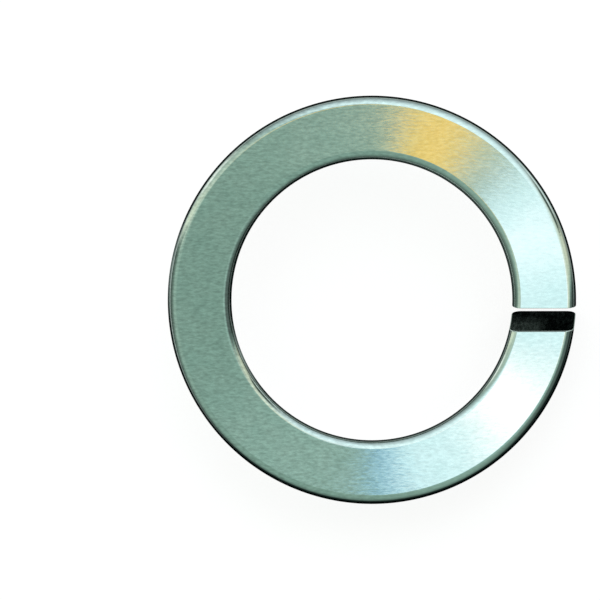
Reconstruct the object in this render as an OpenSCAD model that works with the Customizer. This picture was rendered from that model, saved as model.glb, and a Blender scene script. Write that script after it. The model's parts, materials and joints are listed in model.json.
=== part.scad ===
// Spring lock washer: one turn of rounded square wire, coiled left-handed and cut off on a slant.
// It lies with its bolt axis along +Z and the split towards +X, and its lowest tip is at Z = 0.
// Seen from above, the end on the +Y side of the split is the high one. The coil sinks from there,
// anticlockwise, to the low end, so that a right-handed nut slides over both tips as it tightens,
// and is bitten by them as it works loose.

/* [Ring] */
// Diameter of the hole that the bolt passes through
bore_d = 20.2; // [16:0.1:30]
// Width of the wire, across the ring
wire_w = 4.6; // [3:0.1:8]
// Thickness of the wire, along the bolt
wire_t = 4.6; // [3:0.1:8]
// Radius of the wire's four rounded edges
edge_r = 0.65; // [0.2:0.05:1.2]

/* [Spring] */
// How far the coil climbs in a full turn, when nothing presses on it
rise = 4.7; // [2:0.1:8]

/* [Split] */
// Slant of the two cut faces, away from the bolt's axis
cut_angle = 17.5; // [0:0.5:25]
// Width of the split along the ring, when the washer is pressed flat
split_w = 1.6; // [0.5:0.05:4]
// How far the middle of the split lies off the ring's centre line, towards the low end
split_offset = 0.7; // [0:0.05:2]

/* [Smoothness] */
// Number of steps along the coil
coil_steps = 120; // [60:12:180]
// Number of steps round each rounded edge
edge_steps = 4; // [2:1:6]

/* [Hidden] */

bore_r = bore_d / 2;
outer_r = bore_r + wire_w;

// A cut face leans by this much from the wire's middle to its top or underside
lean = wire_t / 2 * tan(cut_angle);

// Y of each cut face where it meets the wire's underside
high_cut_y = -split_offset + split_w / 2 + lean;
low_cut_y = -split_offset - split_w / 2 + lean;

// The low end stops short of a full turn by this angle, and the coil is set down by what that saves
low_tip_angle = asin(-low_cut_y / (outer_r - edge_r));
set_down = rise * low_tip_angle / 360;

// Free height, from the low tip to the top of the high end
high_tip_angle = asin((2 * lean - high_cut_y) / (outer_r - edge_r));
free_h = wire_t + rise * (1 + high_tip_angle / 360) - set_down;

// The coil's walls start this much outside their true radii, and two round cuts bring them to size.
// A straight step of the coil lies inside its arc by a quarter of this at the outer wall.
skin = 4 * outer_r * (1 - cos(180 / coil_steps));

// Length of the round cutters past the washer's two faces
overshoot = 1;

// Height of the wire's underside, at an angle round from the split
function underside(turn) = rise * (1 - turn / 360) - set_down;

// The angle at which a line of the wire, at a radius and a height above the underside, meets the
// cut face near the angle "end". Both change together, so each try starts from the last one.
function cut_turn(end, cut_y, radius, height, turn, tries = 4) =
    tries == 0 ? turn :
    let (above = height + underside(turn) - underside(end))
    cut_turn(end, cut_y, radius, height,
             end + asin((cut_y - above * tan(cut_angle)) / radius), tries - 1);

// One rounded edge of the section as [radius, height] points, from the flat face to the wall.
// side is 1 at the outer wall and -1 at the bore, and level is 1 on top and -1 underneath.
// The last step runs straight on through the wall, by the skin.
function rounded_edge(side, level) = [
    for (step = [0 : edge_steps])
        let (
            angle = 90 * step / edge_steps,
            past = step == edge_steps ? skin : 0,
            in = edge_r * (1 - sin(angle)) - past,
            down = edge_r * (1 - cos(angle)) + past / tan(45 / edge_steps)
        )
        [(side > 0 ? outer_r : bore_r) - side * in, wire_t / 2 + level * (wire_t / 2 - down)]
];

function backwards(points) = [for (i = [len(points) - 1 : -1 : 0]) points[i]];

// The wire's whole section, round from the underside's outer edge
section = concat(
    rounded_edge(1, -1), backwards(rounded_edge(1, 1)),
    rounded_edge(-1, 1), backwards(rounded_edge(-1, -1))
);

// The coil: each point of the section runs round its own helix, from one cut face to the other
module coil() {
    sides = len(section);
    first = [for (p = section) cut_turn(0, high_cut_y, p[0], p[1], 0)];
    last = [for (p = section) cut_turn(360, low_cut_y, p[0], p[1], 360)];
    points = [
        for (step = [0 : coil_steps], i = [0 : sides - 1])
            let (turn = first[i] + (last[i] - first[i]) * step / coil_steps)
            [section[i][0] * cos(turn), section[i][0] * sin(turn), underside(turn) + section[i][1]]
    ];
    walls = [
        for (step = [0 : coil_steps - 1], i = [0 : sides - 1])
            let (
                next = (i + 1) % sides,
                a = step * sides + i,
                b = step * sides + next,
                c = b + sides,
                d = a + sides
            )
            each [[a, b, c], [a, c, d]]
    ];
    high_end = backwards([for (i = [0 : sides - 1]) i]);
    low_end = [for (i = [0 : sides - 1]) coil_steps * sides + i];
    polyhedron(points = points, faces = concat(walls, [high_end, low_end]), convexity = 6);
}

// A round cutter along the bolt's axis, longer than the washer is high
module along_bolt(radius) {
    translate([0, 0, -overshoot])
        cylinder(r = radius, h = free_h + 2 * overshoot, $fn = 2 * coil_steps);
}

module lock_washer() {
    color([0.56, 0.65, 0.61])
        difference() {
            intersection() {
                coil();
                along_bolt(outer_r);
            }
            along_bolt(bore_r);
        }
}

lock_washer();
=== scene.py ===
# %% [markdown]
# # A spring lock washer in zinc-plated steel
# This lesson dresses one small piece of hardware: a single turn of rounded square steel wire, coiled
# like a spring, cut off on a slant and plated with zinc. Its shape and size are already settled in the
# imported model, so nothing here moves or resizes it. What is left is everything the eye judges: clean
# rounded edges, the satin grain of the plating, the dark sheared ends and the light that they mirror.

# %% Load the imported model
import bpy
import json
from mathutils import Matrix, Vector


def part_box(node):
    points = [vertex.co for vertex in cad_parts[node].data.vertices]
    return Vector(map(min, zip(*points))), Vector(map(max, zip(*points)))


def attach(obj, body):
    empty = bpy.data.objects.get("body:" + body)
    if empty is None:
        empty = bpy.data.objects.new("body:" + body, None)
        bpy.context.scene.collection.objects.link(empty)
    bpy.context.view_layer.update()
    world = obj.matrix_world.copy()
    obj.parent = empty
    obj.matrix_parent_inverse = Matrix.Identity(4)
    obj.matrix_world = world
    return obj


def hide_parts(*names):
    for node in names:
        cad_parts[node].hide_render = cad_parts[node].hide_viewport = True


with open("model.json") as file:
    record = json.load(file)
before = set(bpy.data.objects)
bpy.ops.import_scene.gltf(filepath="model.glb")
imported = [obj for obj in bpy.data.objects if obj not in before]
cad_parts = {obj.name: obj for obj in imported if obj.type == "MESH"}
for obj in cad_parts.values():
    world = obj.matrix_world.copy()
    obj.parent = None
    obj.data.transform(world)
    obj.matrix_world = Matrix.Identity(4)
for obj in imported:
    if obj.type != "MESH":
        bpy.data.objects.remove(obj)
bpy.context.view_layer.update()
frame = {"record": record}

# %% [markdown]
# ## Sizes
# All lengths in Blender are metres, so millimetres are written as a number times MM. The bore and the
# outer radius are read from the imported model. The wire is square, so its thickness equals its width.
# The other sizes are the washer's own driving sizes, the same as in the model's source.

# %% Sizes of the washer
import json
import math

import bpy
import numpy as np
from mathutils import Vector, noise

MM = 0.001
NODE = "lock_washer"

node_low, node_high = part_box(NODE)
bore_mount = next(m for m in frame["record"]["mounts"] if m["name"] == "bore")
bore_r = bore_mount["dims"]["r_mm"] * MM
outer_r = min(node_high.x, node_high.y, -node_low.x, -node_low.y)
middle_r = (bore_r + outer_r) / 2
wire_w = outer_r - bore_r
wire_t = wire_w

edge_r = 0.65 * MM          # radius of the wire's four rounded edges
rise = 4.7 * MM             # climb in one full turn
cut_angle = 17.5            # slant of the cut faces, in degrees from the bolt's axis
split_w = 1.6 * MM          # width of the split along the ring
split_offset = 0.7 * MM     # how far the split's middle lies towards the low end

print(f"wire {wire_w / MM:.2f} mm square, bore radius {bore_r / MM:.2f} mm")

# %% [markdown]
# ## The coil's own arithmetic
# The underside of the wire sinks evenly as the coil turns anticlockwise from its high end. Each point
# of the wire's section runs round its own helix, so it reaches the slanted cut plane at its own angle.
# That angle depends on the height there, and the height on the angle. A few repeats settle both.

# %% Heights and cut planes
HIGH_END = 0.0              # turn round from the split at which the wire starts, in radians
LOW_END = math.tau          # and the turn at which it ends
CUT_TRIES = 5               # repeats that settle an angle and its height

cut_slope = math.tan(math.radians(cut_angle))
lean = wire_t / 2 * cut_slope
high_cut_y = -split_offset + split_w / 2 + lean
low_cut_y = -split_offset - split_w / 2 + lean
low_tip_turn = math.asin(-low_cut_y / (outer_r - edge_r))
set_down = rise * low_tip_turn / math.tau


def underside(turn):
    """Height of the wire's underside at an angle round from the split, in radians."""
    return rise * (1 - turn / math.tau) - set_down


def cut_turn(end, radius, height, setback):
    """Angles at which points of the section meet a cut plane that is set back into the wire."""
    into_wire = setback * math.hypot(1, cut_slope)
    cut_y = high_cut_y + into_wire if end == HIGH_END else low_cut_y - into_wire
    turn = np.full(np.shape(radius), end)
    for _ in range(CUT_TRIES):
        above = height + underside(turn) - underside(end)
        turn = end + np.arcsin((cut_y - above * cut_slope) / radius)
    return turn


print(f"underside from {underside(HIGH_END) / MM:.2f} mm down to {underside(LOW_END) / MM:.2f} mm")

# %% [markdown]
# ## The wire's section
# The real wire is drawn through a die with rounded corners. A box with bevels would facet along the
# coil, so the outline is worked out as points with their true outward directions: flats between four
# quarter circles. An inset gives the slightly smaller outlines that the worn cut edges need.

# %% Outline of the wire
CORNER_STEPS = 12
FLAT_STEPS = 6


def wire_outline(inset=0.0):
    """Radius, height and outward direction of points round the wire's section, outer wall first."""
    corner = edge_r - inset
    straight = wire_w / 2 - edge_r
    points = []
    for side_r, side_h, first in ((1, 1, 0), (-1, 1, 90), (-1, -1, 180), (1, -1, 270)):
        middle = (middle_r + side_r * straight, wire_t / 2 + side_h * straight)
        for step in range(CORNER_STEPS + 1):
            angle = math.radians(first + 90 * step / CORNER_STEPS)
            out_r, out_h = math.cos(angle), math.sin(angle)
            points.append((middle[0] + corner * out_r, middle[1] + corner * out_h, out_r, out_h))
        last = points[-1]
        for step in range(1, FLAT_STEPS):
            along = 2 * straight * step / FLAT_STEPS
            points.append((last[0] - out_h * along, last[1] + out_r * along, out_r, out_h))
    return np.array(points).T


section_count = wire_outline().shape[1]
print(section_count, "points round the wire")

# %% [markdown]
# ## Surface directions
# Every point gets its exact surface direction. Blender would average them from the faces, and that
# bends the light near the rounded edges, which polished metal shows at once. On top of the coil a
# direction leans towards the low end by the slope of the helix, and underneath it leans back.

# %% Directions on the coil and on the cut faces
climb = rise / math.tau     # for each radian of turn


def coil_direction(turn, radius, out_r, out_h):
    """True outward directions on the coil, from those of the flat section."""
    out_turn = climb * out_h / radius
    direction = np.column_stack([
        out_r * np.cos(turn) - out_turn * np.sin(turn),
        out_r * np.sin(turn) + out_turn * np.cos(turn),
        out_h,
    ])
    return direction / np.linalg.norm(direction, axis=1, keepdims=True)


def plane_direction(end):
    """Outward direction of a cut face: back and down at the high end, forwards and up at the low."""
    direction = np.array([0.0, 1.0, cut_slope]) / math.hypot(1, cut_slope)
    return -direction if end == HIGH_END else direction


print(f"the face leans {math.degrees(math.atan(climb / middle_r)):.1f} degrees at the wire's middle")

# %% [markdown]
# ## The painted dark line on the rounded edges
# A narrow dark line runs along each rounded edge. It is painted shade, for the dark that these edges
# mirror as they turn away from overhead. It is wider on some sides of the ring, and paler on a short
# stretch opposite the split, where a painted highlight lifts it. A noise couldn't follow the coil so
# closely, so each point gets a share of the line, worked out from its turn and from how far the
# surface leans out there. The same lean tells where the edge has become a wall.

# %% Shares of wall and of the painted dark line
WALL_LEAN = (78, 88)        # degrees from straight up or down over which an edge becomes a wall
EDGE_SHADE_LEAN = 44              # and those at which the dark line starts, where it isn't widened
EDGE_SHADE_FADE = 7               # degrees over which it reaches its full depth
PAINTED_GLINT_REACH = 16           # degrees round the ring from the middle of the painted highlight to its end
PAINTED_GLINT_AWAY = 0.3           # how much of the line's depth is gone in the middle of that stretch

# For the outer and the inner edge: the turn at which the line is widest, how strongly and from what
# level it widens, how many degrees it gains there, its depth and what it gains, and the turn of its
# painted highlight, where the painted shade grows paler
OUTER_EDGE_SHADE = dict(widest=285, swing=1.3, level=0.15, reach=7, depth=0.955, gain=0.045, painted_light=170)
INNER_EDGE_SHADE = dict(widest=145, swing=1.6, level=-0.2, reach=4, depth=0.88, gain=0.09, painted_light=203)


def painted_edge_shade_depth(turn, lean_out, widest, swing, level, reach, depth, gain, painted_light):
    """Depth of one edge's painted dark line, a painted shade, where the surface leans out this far."""
    wide = np.clip(swing * np.cos(turn - math.radians(widest)) + level, 0, 1)
    # a painted highlight: the dark line grows paler round this turn, where the edge would catch a
    # glint
    painted_glint_share = np.clip(1 - np.abs(np.degrees(turn) - painted_light) / PAINTED_GLINT_REACH, 0, 1)
    entered = np.clip((lean_out - EDGE_SHADE_LEAN + reach * wide) / EDGE_SHADE_FADE, 0, 1)
    return (depth + gain * wide - PAINTED_GLINT_AWAY * painted_glint_share) * entered


def wall_and_edge_shade(turn, out_r, out_h):
    """Shares of wall and of the painted dark line, a painted shade, at points of the coil."""
    lean_out = np.degrees(np.arctan2(np.abs(out_r), np.abs(out_h)))
    wall = np.interp(lean_out, WALL_LEAN, (0, 1))
    outer_edge_shade = painted_edge_shade_depth(turn, lean_out, **OUTER_EDGE_SHADE)
    inner_edge_shade = painted_edge_shade_depth(turn, lean_out, **INNER_EDGE_SHADE)
    return wall, np.where(out_r > 0, outer_edge_shade, inner_edge_shade) * (1 - wall)


widest_edge_shade = math.radians(WALL_LEAN[0] - EDGE_SHADE_LEAN + OUTER_EDGE_SHADE["reach"]) * edge_r
print(f"the dark line is up to {widest_edge_shade / MM:.2f} mm wide")

# %% [markdown]
# ## Rings of points
# The coil is a stack of rings, each of them the wire's outline set at its turn. Where the wire was
# cut, deburring and plating leave a narrow rounding. A bevel could make it, but it would lose the
# exact directions, so a few smaller rings turn them from the wire's side onto the cut face.

# %% Make a ring
BREAK_STEPS = 3
edge_break = 0.05 * MM      # rounding of the cut edges

vertices, directions, wire_places, wall_shares, edge_shade_shares = [], [], [], [], []


def add_points(turn, radius, height, direction, wall, line):
    """Adds points at these angles, radii and heights above the underside of the wire."""
    x, y = radius * np.cos(turn), radius * np.sin(turn)
    vertices.extend(np.column_stack([x, y, underside(turn) + height]))
    directions.extend(direction)
    wire_places.extend(np.column_stack([turn * middle_r, radius - middle_r, height]))
    wall_shares.extend(wall)
    edge_shade_shares.extend(line)


def add_ring(turn, outline, end=None, rounding=0.0):
    """Adds one ring. rounding is 0 on the wire's side and 1 where it has turned onto a cut face."""
    radius, height, out_r, out_h = outline
    direction = coil_direction(turn, radius, out_r, out_h)
    if end is not None:
        over = rounding * math.pi / 2
        direction = math.cos(over) * direction + math.sin(over) * plane_direction(end)
        direction /= np.linalg.norm(direction, axis=1, keepdims=True)
    wall, line = wall_and_edge_shade(turn, out_r, out_h)
    add_points(turn, radius, height, direction, wall, line * (1 - rounding))


def add_rounded_end(end, steps):
    """Adds the rings that round over one cut edge."""
    for step in steps:
        over = math.pi / 2 * step / BREAK_STEPS
        outline = wire_outline(edge_break * (1 - math.cos(over)))
        setback = edge_break * (1 - math.sin(over))
        add_ring(cut_turn(end, outline[0], outline[1], setback), outline, end, step / BREAK_STEPS)


add_rounded_end(HIGH_END, range(BREAK_STEPS, 0, -1))
print(len(vertices) // section_count, "rings round over the high end")

# %% [markdown]
# ## The coil
# Hundreds of rings follow, from one cut to the other, so that no facet shows on the outer wall. Each
# point of the outline takes even steps between its own two cut angles, so the rings slant with the
# cuts at both ends. Blender's screw modifier could sweep the outline too, but its ends would be
# square to the wire, and its surface directions only averages.

# %% Stack the rings
COIL_STEPS = 720

full = wire_outline()
first_turn = cut_turn(HIGH_END, full[0], full[1], edge_break)
last_turn = cut_turn(LOW_END, full[0], full[1], edge_break)
for step in range(COIL_STEPS + 1):
    add_ring(first_turn + (last_turn - first_turn) * step / COIL_STEPS, full)
add_rounded_end(LOW_END, range(1, BREAK_STEPS + 1))
ring_count = len(vertices) // section_count
print(ring_count, "rings,", len(vertices), "points")

# %% [markdown]
# ## The sheared ends
# The wire was parted by a blade. Where the blade entered, the steel is burnished, and below that it
# broke away and is finely rough. Each cut face is a set of shrinking outlines with a low relief,
# pressed in by a few hundredths of a millimetre, so that the ends have real texture of their own.

# %% Relief of the cut faces
BURNISH_SHARE = 0.3             # share of the thickness that the blade cut before the steel broke
BURNISH_SHARPNESS = 8           # how quickly the burnished steel turns into torn steel below it
BUMP_SQUEEZE = 0.6              # below 1, the bumps are longer up the face than across it
BUMP_LAYER = 3.0                # which slice of the noise is used
BUMP_OCTAVES = 3                # how many noises of growing fineness are added up
BUMP_FINER = 2.0                # how much finer each of them is than the one before
BUMP_FADE = 0.9                 # how fast they grow weaker
burnish_relief = 0.006 * MM
fracture_relief = 0.035 * MM
relief_grain = 0.42 * MM        # size of one bump


def sheared_relief(radius, height, end):
    """How deep each point of a cut face lies under its plane."""
    depths = []
    for r, h in zip(radius, height):
        spot = Vector((r / relief_grain, BUMP_SQUEEZE * h / relief_grain, BUMP_LAYER + end))
        bumps = 0.5 + 0.5 * noise.fractal(spot, BUMP_FADE, BUMP_FINER, BUMP_OCTAVES)
        entered = np.clip((h / wire_t - 1 + BURNISH_SHARE) * BURNISH_SHARPNESS + 0.5, 0, 1)
        depths.append(bumps * (entered * burnish_relief + (1 - entered) * fracture_relief))
    return np.array(depths)


middle_depth = sheared_relief([middle_r], [wire_t / 2], HIGH_END)[0]
print(f"the middle of the high cut face lies {middle_depth / MM:.3f} mm under its plane")

# %% Rings of the cut faces
FACE_RINGS = 14
RIM_RELIEF = 0.2                # share of the relief that is left at the rounded cut edge


def add_cut_face(end):
    """Adds the inner rings of one cut face and returns the number of its first point."""
    start = len(vertices)
    outline = wire_outline(edge_break)
    direction = np.tile(plane_direction(end), (section_count, 1))
    nothing = np.zeros(section_count)
    for ring in range(1, FACE_RINGS):
        keep = 1 - ring / FACE_RINGS
        radius = middle_r + keep * (outline[0] - middle_r)
        height = wire_t / 2 + keep * (outline[1] - wire_t / 2)
        depth = sheared_relief(radius, height, end) * min(1, 2 * ring / FACE_RINGS + RIM_RELIEF)
        add_points(cut_turn(end, radius, height, depth), radius, height, direction, nothing, nothing)
    centre = np.array([middle_r]), np.array([wire_t / 2])
    depth = sheared_relief(*centre, end)
    add_points(cut_turn(end, *centre, depth), *centre, direction[:1], nothing[:1], nothing[:1])
    return start


high_face_start = add_cut_face(HIGH_END)
low_face_start = add_cut_face(LOW_END)
print("cut faces add", len(vertices) - high_face_start, "points")

# %% [markdown]
# ## Skin the rings
# Faces join each ring to the next, and each cut face runs from its rounded edge in to one middle
# point. The result is one closed skin with no loose faces, which a slicer or a renderer can both use.

# %% Join the rings into one closed mesh
ZINC_FINISH = 0
SHEARED_FINISH = 1

faces, finishes = [], []


def join_rings(ring_a, ring_b, finish, outwards):
    """Adds a band of faces between two rings, given by the numbers of their first points."""
    for i in range(section_count):
        j = (i + 1) % section_count
        band = (ring_a + i, ring_b + i, ring_b + j, ring_a + j)
        faces.append(band if outwards else band[::-1])
        finishes.append(finish)


def join_cut_face(rim, start, outwards):
    """Adds one cut face, from the ring of its rounded edge to its middle point."""
    rings = [rim] + [start + k * section_count for k in range(FACE_RINGS - 1)]
    for ring_a, ring_b in zip(rings, rings[1:]):
        join_rings(ring_a, ring_b, SHEARED_FINISH, outwards)
    middle = start + (FACE_RINGS - 1) * section_count
    for i in range(section_count):
        fan = (rings[-1] + i, middle, rings[-1] + (i + 1) % section_count)
        faces.append(fan if outwards else fan[::-1])
        finishes.append(SHEARED_FINISH)


for ring in range(ring_count - 1):
    join_rings(ring * section_count, (ring + 1) * section_count, ZINC_FINISH, True)
join_cut_face(0, high_face_start, False)
join_cut_face((ring_count - 1) * section_count, low_face_start, True)

mesh = bpy.data.meshes.new("lock_washer_coil")
mesh.from_pydata([tuple(v) for v in vertices], [], faces)
mesh.polygons.foreach_set("material_index", finishes)
mesh.polygons.foreach_set("use_smooth", [True] * len(faces))
mesh.update()
print(len(faces), "faces; stray points:", len(vertices) - len({i for f in faces for i in f}))

# %% [markdown]
# ## Directions and places on the wire
# The exact directions go onto the mesh as custom normals. The two cut faces keep the directions of
# their own relief. The piece also carries its place along the wire, so that the drawn lines of the
# walls can follow the coil. It also carries the two shares that say where the walls and the painted
# dark lines are. Those lines are painted shade.

# %% Store directions and wire places
relief_directions = np.empty(len(vertices) * 3, np.float32)
mesh.vertex_normals.foreach_get("vector", relief_directions)
relief_directions = relief_directions.reshape(-1, 3)
custom = np.array(directions)
custom[high_face_start:] = relief_directions[high_face_start:]
mesh.normals_split_custom_set_from_vertices([tuple(d) for d in custom])

place = mesh.attributes.new("wire_place", "FLOAT_VECTOR", "POINT")
place.data.foreach_set("vector", np.array(wire_places, np.float32).ravel())
# the second share says where the painted dark line, a painted shade, lies on the rounded edges
for name, shares in (("wall", wall_shares), ("rounded_edge", edge_shade_shares)):
    attribute = mesh.attributes.new(name, "FLOAT", "POINT")
    attribute.data.foreach_set("value", np.array(shares, np.float32))

washer = bpy.data.objects.new("zinc_plated_coil", mesh)
bpy.context.scene.collection.objects.link(washer)
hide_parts(NODE)
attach(washer, "root")
print(washer.name, "carries", len(custom), "surface directions")

# %% [markdown]
# ## A helper for finishes
# A finish is a small network of nodes. This helper makes one node, sets what is given as numbers and
# links what is given as another node's output, so that each finish below reads as a short recipe.

# %% Make and link a node
def put(tree, kind, settings=None, **inputs):
    """Makes a shader node. Underscores in the names of inputs stand for spaces, n3 for input 3."""
    made = tree.nodes.new("ShaderNode" + kind)
    for name, value in (settings or {}).items():
        setattr(made, name, value)
    for name, value in inputs.items():
        key = int(name[1:]) if name[0] == "n" and name[1:].isdigit() else name.replace("_", " ")
        if isinstance(value, bpy.types.NodeSocket):
            tree.links.new(value, made.inputs[key])
        else:
            made.inputs[key].default_value = value
    return made


def new_finish(name):
    """An empty material and its node tree."""
    finish = bpy.data.materials.new(name)
    finish.use_nodes = True
    finish.node_tree.nodes.clear()
    return finish, finish.node_tree


zinc, tree = new_finish("zinc_plated_steel")
print(zinc.name, "is ready for its nodes")

# %% [markdown]
# ## Zinc plating
# Thin zinc under a pale blue-green passivation looks like satin steel with a teal cast. It isn't
# one even colour: the film is mottled, a fine grain runs across the faces, and the bore and outer
# walls keep the darker lines of the drawing die. Each of these is a noise of the size that it has on
# the real thing. A scanned picture could do as much, but it would stretch or repeat round the coil.
# The walls' darker colour as a whole is painted shade, for the dark that they mirror.

# %% Mottle, grain and drawn lines
# Grains in a metre, on the object's three axes, and for the drawn lines along, across and up the wire
MOTTLE = (500, 500, 500)
FACE_GRAIN = (2300, 6200, 6200)
DRAWN_LINES = (250, 6000, 6000)
NOISE_RANGE = (0.3, 0.7)    # nearly all of a noise lies between these


def noise_texture(tree, place, grains, detail, roughness=0.5):
    """Noise with so many grains in a metre on each axis, as values about 0.5."""
    scaled = put(tree, "Mapping", n0=place, n3=grains).outputs[0]
    made = put(tree, "TexNoise", Vector=scaled, Scale=1.0, Detail=detail, Roughness=roughness)
    return made.outputs[0]


on_object = put(tree, "TexCoord").outputs["Object"]
on_wire = put(tree, "Attribute", {"attribute_name": "wire_place"}).outputs["Vector"]
is_wall = put(tree, "Attribute", {"attribute_name": "wall"}).outputs["Fac"]
# where the painted dark line, a painted shade, lies on the rounded edges
is_painted_edge_shade = put(tree, "Attribute", {"attribute_name": "rounded_edge"}).outputs["Fac"]

mottle = noise_texture(tree, on_object, MOTTLE, detail=3)
grain = noise_texture(tree, on_object, FACE_GRAIN, detail=2, roughness=0.6)
drawn = noise_texture(tree, on_wire, DRAWN_LINES, detail=3, roughness=0.6)
surface = put(tree, "Mix", {"data_type": "FLOAT"}, n0=is_wall, n2=grain, n3=drawn).outputs[0]
print(f"one grain of the face is {1 / FACE_GRAIN[1] / MM:.2f} mm wide")

# %% [markdown]
# ## The zinc's colour
# The mottle mixes two close teals. The walls are darker, a painted shade for the dark that they
# mirror. The line on the rounded edges is nearly black, a painted shade for the dark that those edges
# mirror. The grain then lightens and darkens all of it, and grows calmer towards the split.
# Mixing one thing at a time keeps each of them easy to change by itself.

# %% Colour of the zinc
zinc_teal = (0.52, 0.65, 0.60, 1)
zinc_pale = (0.56, 0.67, 0.62, 1)
# darker: painted shade, for the dark that the bore and outer walls mirror
wall_painted_shade = (0.25, 0.36, 0.30, 1)
# nearly black: the painted shade of the dark line on the rounded edges
painted_shade_dark = (0.012, 0.018, 0.017, 1)
GRAIN_CONTRAST = 0.2
CALM_LEVEL = 0.42           # what is left of the contrast at the split
calm_from = -4 * MM         # place across the washer where the grain starts to grow calm
calm_to = 9 * MM            # and where it is calmest


def spread(tree, value, low, high):
    """Turns a noise into values between low and high."""
    made = put(tree, "MapRange", n0=value, n1=NOISE_RANGE[0], n2=NOISE_RANGE[1], n3=low, n4=high)
    return made.outputs[0]


def mixed_colour(tree, share, colour_a, colour_b):
    """Mixes two colours by a share."""
    return put(tree, "Mix", {"data_type": "RGBA"}, n0=share, n6=colour_a, n7=colour_b).outputs[2]


tone = mixed_colour(tree, spread(tree, mottle, 0, 1), zinc_teal, zinc_pale)
# the walls' painted shade
tone = mixed_colour(tree, is_wall, tone, wall_painted_shade)
# paints the dark line's shade over the rounded edges
tone = mixed_colour(tree, is_painted_edge_shade, tone, painted_shade_dark)
across = put(tree, "SeparateXYZ", n0=on_object).outputs[0]
calm = put(tree, "MapRange", n0=across, n1=calm_from, n2=calm_to, n3=1.0, n4=CALM_LEVEL).outputs[0]
change = spread(tree, surface, -GRAIN_CONTRAST, GRAIN_CONTRAST)
shade = put(tree, "Math", {"operation": "MULTIPLY_ADD"}, n0=change, n1=calm, n2=1.0).outputs[0]
shaded = put(tree, "VectorMath", {"operation": "SCALE"}, n0=tone, Scale=shade).outputs[0]
print(len(tree.nodes), "nodes colour the zinc")

# %% [markdown]
# ## The zinc's shine
# The plating is a clean metal with a satin polish, so it mirrors the room a little softly. At a low
# angle it mirrors somewhat less than bare metal would, under its thin film. The painted dark line, a
# painted shade, mirrors next to nothing. A clear coat over the metal could stand for the film, but it
# would add a second, sharper reflection that the real film is too thin to show.

# %% Shine of the zinc
satin = (0.06, 0.085)       # roughness between the grains and on them
grain_depth = 0.002 * MM
face_glint = (0.6, 0.6, 0.6, 1)
# on the dark line the metal mirrors nothing at a low angle, which deepens its painted shade
edge_shade_glint = (0, 0, 0, 1)

shader = put(
    tree, "BsdfPrincipled", Base_Color=shaded, Metallic=1.0,
    Roughness=spread(tree, surface, *satin),
    Normal=put(tree, "Bump", Strength=0.5, Distance=grain_depth, Height=surface).outputs[0],
    Specular_Tint=mixed_colour(tree, is_painted_edge_shade, face_glint, edge_shade_glint),
)
put(tree, "OutputMaterial", Surface=shader.outputs[0])
mesh.materials.append(zinc)
print(len(tree.nodes), "nodes make the zinc")

# %% [markdown]
# ## The sheared steel
# The cut faces were parted after the wire was drawn. They are rough, with faint lines in the direction
# of the blade. Their near-black colour is painted shade, for the dark that the cut faces mirror. Near
# the bore and the top the colour is a little lighter: painted light, for a brighter reflection there.

# %% Where the steel is torn, and where painted light lightens it
TORN_GRAIN = (2500, 5000, 1200)     # grains in a metre along, across and up the wire
lit_patch_edge = 0.4 * MM              # the painted light fades out this far on each side of the middle
lit_patch_low = 0.15 * wire_t          # height at which it starts
lit_patch_high = 0.7 * wire_t          # and at which it is full

sheared, tree = new_finish("sheared_steel")
on_wire = put(tree, "Attribute", {"attribute_name": "wire_place"}).outputs["Vector"]
torn = noise_texture(tree, on_wire, TORN_GRAIN, detail=4, roughness=0.65)
_, outwards, height = put(tree, "SeparateXYZ", n0=on_wire).outputs
near_bore = put(tree, "MapRange", n0=outwards, n1=lit_patch_edge, n2=-lit_patch_edge).outputs[0]
near_top = put(tree, "MapRange", n0=height, n1=lit_patch_low, n2=lit_patch_high).outputs[0]
# share of the painted light near the bore and the top
painted_light = put(tree, "Math", {"operation": "MULTIPLY"}, n0=near_bore, n1=near_top).outputs[0]
print(f"rubbed from {lit_patch_low / MM:.2f} mm up")

# %% Colour and shine of the sheared steel
# near-black: painted shade, for the dark that the cut faces mirror
torn_shade_dark = (0.012, 0.016, 0.015, 1)
torn_shade_light = (0.045, 0.055, 0.052, 1)
# lighter: painted light on the part near the bore and the top
lit_patch_dark = (0.1, 0.12, 0.112, 1)
lit_patch_light = (0.15, 0.175, 0.165, 1)
torn_polish = (0.3, 0.45)           # roughness between the tears and on them
tear_depth = 0.01 * MM

streaks = spread(tree, torn, 0, 1)
torn_shade_tone = mixed_colour(tree, streaks, torn_shade_dark, torn_shade_light)
lit_patch_tone = mixed_colour(tree, streaks, lit_patch_dark, lit_patch_light)
# the painted light is mixed over the painted shade of the torn steel
shader = put(
    tree, "BsdfPrincipled", Base_Color=mixed_colour(tree, painted_light, torn_shade_tone, lit_patch_tone),
    Metallic=1.0, Roughness=spread(tree, torn, *torn_polish), Specular_Tint=(0, 0, 0, 1),
    Normal=put(tree, "Bump", Strength=0.6, Distance=tear_depth, Height=torn).outputs[0],
)
put(tree, "OutputMaterial", Surface=shader.outputs[0])
mesh.materials.append(sheared)
print("finishes:", [finish.name for finish in mesh.materials])

# %% [markdown]
# ## The floor
# The washer lies on a plain white table. A matt white surface under soft light is still a light grey
# to the camera, so the part of it that the camera and the mirrors in the metal see has less than half
# of the matt colour, and a plain glow makes up the rest. The washer's soft shadow stays on it.

# %% A plain floor
floor_size = 12.0
half = floor_size / 2
corners = [(-half, -half, 0), (half, -half, 0), (half, half, 0), (-half, half, 0)]

floor_mesh = bpy.data.meshes.new("floor")
floor_mesh.from_pydata(corners, [], [(0, 1, 2, 3)])
floor = bpy.data.objects.new("floor", floor_mesh)
bpy.context.scene.collection.objects.link(floor)
print("floor of", floor_size, "m")

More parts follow.
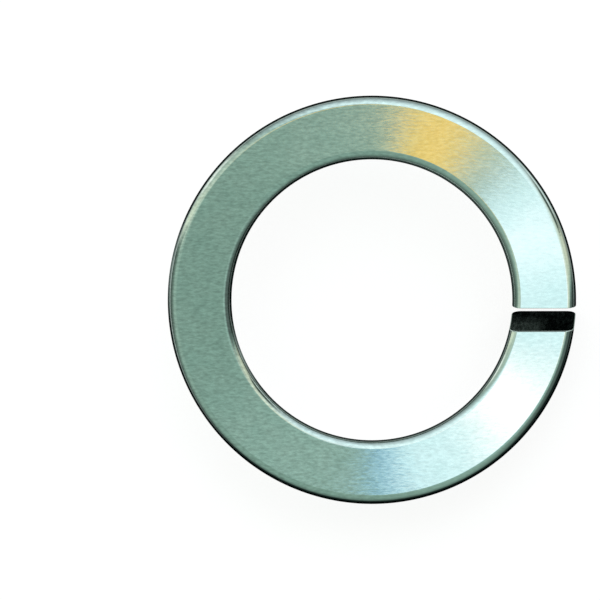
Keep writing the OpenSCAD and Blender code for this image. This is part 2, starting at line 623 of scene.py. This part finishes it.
# %% White paper on the floor
paper_white = (0.9, 0.9, 0.9, 1)        # for soft light that bounces on
seen_white = (0.36, 0.36, 0.36, 1)      # for the camera and the mirrors in the metal
seen_glow = 0.84                        # and what the glow adds for them
glow_colour = (1, 0.98, 0.985, 1)       # a trace of pink, against the green light of the walls

paper, tree = new_finish("floor_paper")
rays = put(tree, "LightPath").outputs
seen = rays["Is Camera Ray"]
for ray in ("Is Glossy Ray", "Is Transmission Ray"):
    seen = put(tree, "Math", {"operation": "MAXIMUM"}, n0=seen, n1=rays[ray]).outputs[0]
matt = put(tree, "BsdfDiffuse", Color=mixed_colour(tree, seen, paper_white, seen_white))
strength = put(tree, "Math", {"operation": "MULTIPLY"}, n0=seen, n1=seen_glow)
glow = put(tree, "Emission", Color=glow_colour, Strength=strength.outputs[0])
both = put(tree, "AddShader", n0=matt.outputs[0], n1=glow.outputs[0])
put(tree, "OutputMaterial", Surface=both.outputs[0])
floor_mesh.materials.append(paper)
print(len(tree.nodes), "nodes make the paper")

# %% [markdown]
# ## Light
# The upper face is a shallow helix. Each part of it leans a different way, so together they mirror a
# ring of directions some seven degrees from straight overhead. The rounded edges mirror all the rest,
# down to the table. So the light is painted as a room: each lamp, card and wall has a place by its
# bearing round the room and its slope down from overhead. Lamps as objects would do as well, but the
# soft edges that satin metal needs would take many more parts.

# %% Bearing and slope in the room
world = bpy.data.worlds.new("studio_room")
bpy.context.scene.world = world
world.use_nodes = True
tree = world.node_tree
tree.nodes.clear()


def sums(operation, a, b=0.0):
    """One sum on the room's values, such as ADD or ARCTAN2."""
    return put(tree, "Math", {"operation": operation}, n0=a, n1=b).outputs[0]


east, north, up = put(tree, "SeparateXYZ", n0=put(tree, "TexCoord").outputs["Generated"]).outputs
bearing = sums("DEGREES", sums("ARCTAN2", north, east))     # 0 towards +X, 90 towards +Y
from_east = sums("ABSOLUTE", bearing)                       # 0 towards +X, 180 towards -X
slope = sums("DEGREES", sums("ARCCOSINE", up))              # 0 overhead, 90 at the horizon
print(len(tree.nodes), "nodes measure the room")

# %% [markdown]
# ## The dim side of the room
# Away from the lamps the walls are a quiet green-grey. They lighten a little towards both ends of the
# lamp side and darken down to the horizon, most of all in the two corners. The corner on the right
# is darkest of all at its foot. Every edge is a soft step, because a hard one would show as a line.

# %% Walls
wall_green = (0.335, 0.465, 0.41, 1)
wall_left = (0.45, 0.58, 0.51, 1)
wall_right = (0.45, 0.6, 0.545, 1)


def soft_edge(value, middle, softness):
    """0 before an edge and 1 past it, with a soft step of this half-width."""
    soft = {"interpolation_type": "SMOOTHSTEP"}
    made = put(tree, "MapRange", soft, n0=value, n1=middle - softness, n2=middle + softness)
    return made.outputs[0]


def towards_horizon(start, level):
    """A factor that falls evenly from 1 at a slope to this level at the horizon."""
    return put(tree, "MapRange", n0=slope, n1=start, n2=90.0, n3=1.0, n4=level).outputs[0]


def dimmed(colour, factor):
    """A colour times a factor."""
    return put(tree, "VectorMath", {"operation": "SCALE"}, n0=colour, Scale=factor).outputs[0]


room = mixed_colour(tree, soft_edge(from_east, middle=145, softness=35), wall_green, wall_left)
room = mixed_colour(tree, soft_edge(from_east, middle=52, softness=32), wall_right, room)
room = dimmed(room, towards_horizon(start=44, level=0.28))
print(len(tree.nodes), "nodes with the walls")

# %% Dark corners
def between(value, edges, softness):
    """1 between two edges and 0 outside them, with a softness for each edge."""
    risen = soft_edge(value, edges[0], softness[0])
    return sums("SUBTRACT", risen, soft_edge(value, edges[1], softness[1]))


def darkened(room, side, low, share):
    """The room, with this share of its light taken away where it is on a side and also low."""
    kept = sums("SUBTRACT", 1.0, sums("MULTIPLY", sums("MULTIPLY", side, low), share))
    return dimmed(room, kept)


right_corner = between(bearing, edges=(-43, 9), softness=(18, 4))
room = darkened(room, right_corner, soft_edge(slope, middle=32, softness=16), share=0.65)
right_foot = between(bearing, edges=(-40, 9), softness=(12, 4))
room = darkened(room, right_foot, soft_edge(slope, middle=70, softness=14), share=0.65)
left_corner = soft_edge(from_east, middle=160, softness=12)
room = darkened(room, left_corner, soft_edge(slope, middle=44, softness=14), share=0.4)
print(len(tree.nodes), "nodes with the corners")

# %% [markdown]
# ## The lamp side
# One broad soft lamp fills the far side of the sky. Cream cards stand at its right end and pale ones
# at its left, each with a small bright window low down. Two dark cards by the cream ones draw the
# dark streaks beside the split. Each is one call that paints over what is there, so the order counts.

# %% Cards at the right end
def card(room, colour, bearings, slopes, side_softness, end_softness, falls=None):
    """The room with one more soft-edged card, between two bearings and two slopes in degrees.

    Where falls is given, the card dims from its first value, a slope, down to the horizon, where
    its second value is the share that is left.
    """
    across_card = between(bearing, bearings, side_softness)
    down_card = between(slope, slopes, end_softness)
    paint = (*colour, 1)
    if falls:
        paint = dimmed(colour, towards_horizon(*falls))
    return mixed_colour(tree, sums("MULTIPLY", across_card, down_card), room, paint)


# A dark card in the right corner, then three cream ones: high, low, and a bright patch on the high
room = card(room, (0.15, 0.18, 0.17), (-22, 8), (32, 66), (8, 4), (7, 10))
room = card(room, (0.8, 0.82, 0.72), (4, 60), (-10, 34), (3, 5), (1, 12))
room = card(room, (1.0, 0.95, 0.78), (14, 60), (34, 100), (5, 5), (12, 1), (56, 0.38))
room = card(room, (1.15, 1.1, 0.93), (16, 40), (12, 30), (4, 8), (4, 7))
print(len(tree.nodes), "nodes with the cards at the right end")

# %% The broad lamp and the left end
# Slopes from -10 to 100 reach past both ends of the scale, so that a card has no edge there
ALL_SLOPES = (-10, 100)

# The lamp, and its brighter part low on the right
room = card(room, (1.3, 1.42, 1.52), (37, 127), ALL_SLOPES, (15, 20), (1, 1), (26, 0.22))
room = card(room, (1.28, 1.42, 1.54), (52, 76), (36, 86), (10, 10), (12, 8), (36, 0.3))

# Pale cards at the left end, high and low
room = card(room, (0.76, 0.83, 0.72), (138, 174), (-10, 40), (8, 3), (1, 12))
room = card(room, (0.66, 0.74, 0.66), (136, 167), (40, 100), (8, 4), (12, 1), (40, 0.7))
print(len(tree.nodes), "nodes with the broad lamp")

# %% Windows and narrow cards
# At the right end, a narrow dark card and a low window
room = card(room, (0.1, 0.13, 0.12), (25.5, 41), (46, 72), (2, 5), (8, 4))
room = card(room, (1.2, 1.25, 1.3), (29, 46), (77, 100), (4, 5), (5, 1))

# At the left end, a low window and a narrow pale card
room = card(room, (1.3, 1.25, 1.2), (139, 152), (62, 100), (6, 4), (8, 1))
room = card(room, (1.05, 1.05, 0.88), (154, 164), (36, 100), (4, 4), (12, 1))
print(len(tree.nodes), "nodes with the windows")

# %% [markdown]
# ## Overhead
# The ring of directions that the face mirrors has its own set: a white lamp over more than a third of
# the turn, with a blue edge where it starts, two brighter spots in it, and a gold reflector behind it.

# %% Lamps straight above
OVERHEAD = (-10, 9.7)
OVERHEAD_SOFT = (1, 1.2)

room = card(room, (0.45, 0.77, 1.05), (-1, 14), OVERHEAD, (2, 5), OVERHEAD_SOFT)        # blue edge
room = card(room, (1.18, 1.38, 1.5), (8.5, 132), OVERHEAD, (5, 8), OVERHEAD_SOFT)       # white lamp
room = card(room, (2.3, 1.85, 1.9), (42, 64), OVERHEAD, (14, 14), OVERHEAD_SOFT)        # warm spot
room = card(room, (1.6, 1.65, 1.8), (102, 118), OVERHEAD, (10, 10), OVERHEAD_SOFT)      # cool spot
room = card(room, (1.56, 0.95, 0.27), (147, 170), OVERHEAD, (8, 6), OVERHEAD_SOFT)      # gold
print(len(tree.nodes), "nodes with the lamps overhead")

# %% [markdown]
# ## Under the horizon
# Low views look past the edge of the table, so the world goes on in its colour there.

# %% Finish the room
below = sums("LESS_THAN", up, 0.0)
walls = put(tree, "Background", Color=room, Strength=1.0).outputs[0]
table = put(tree, "Background", Color=(1, 1, 1, 1), Strength=1.0).outputs[0]
put(tree, "OutputWorld", Surface=put(tree, "MixShader", n0=below, n1=walls, n2=table).outputs[0])
print(world.name, "has", len(tree.nodes), "nodes")

# %% [markdown]
# ## The camera
# The camera looks straight down the bolt's axis, as the photograph does, with no perspective. One
# pixel of the 600-pixel frame is a known length, so the washer's own centre can be set to its pixel.

# %% Camera straight above
FRAME_PIXELS = 600
pixel = 0.07197 * MM
centre_pixel = (371.93, 299.78)     # where the washer's axis is in the frame, from its upper left
camera_height = 0.4

camera_data = bpy.data.cameras.new("portrait_camera")
camera_data.type = "ORTHO"
camera_data.ortho_scale = FRAME_PIXELS * pixel
camera = bpy.data.objects.new("portrait_camera", camera_data)
camera.location = (
    (FRAME_PIXELS / 2 - centre_pixel[0]) * pixel,
    (centre_pixel[1] - FRAME_PIXELS / 2) * pixel,
    camera_height,
)
bpy.context.scene.collection.objects.link(camera)
bpy.context.scene.camera = camera
bpy.context.scene.view_settings.view_transform = "Standard"
print(f"frame {camera_data.ortho_scale / MM:.2f} mm wide")
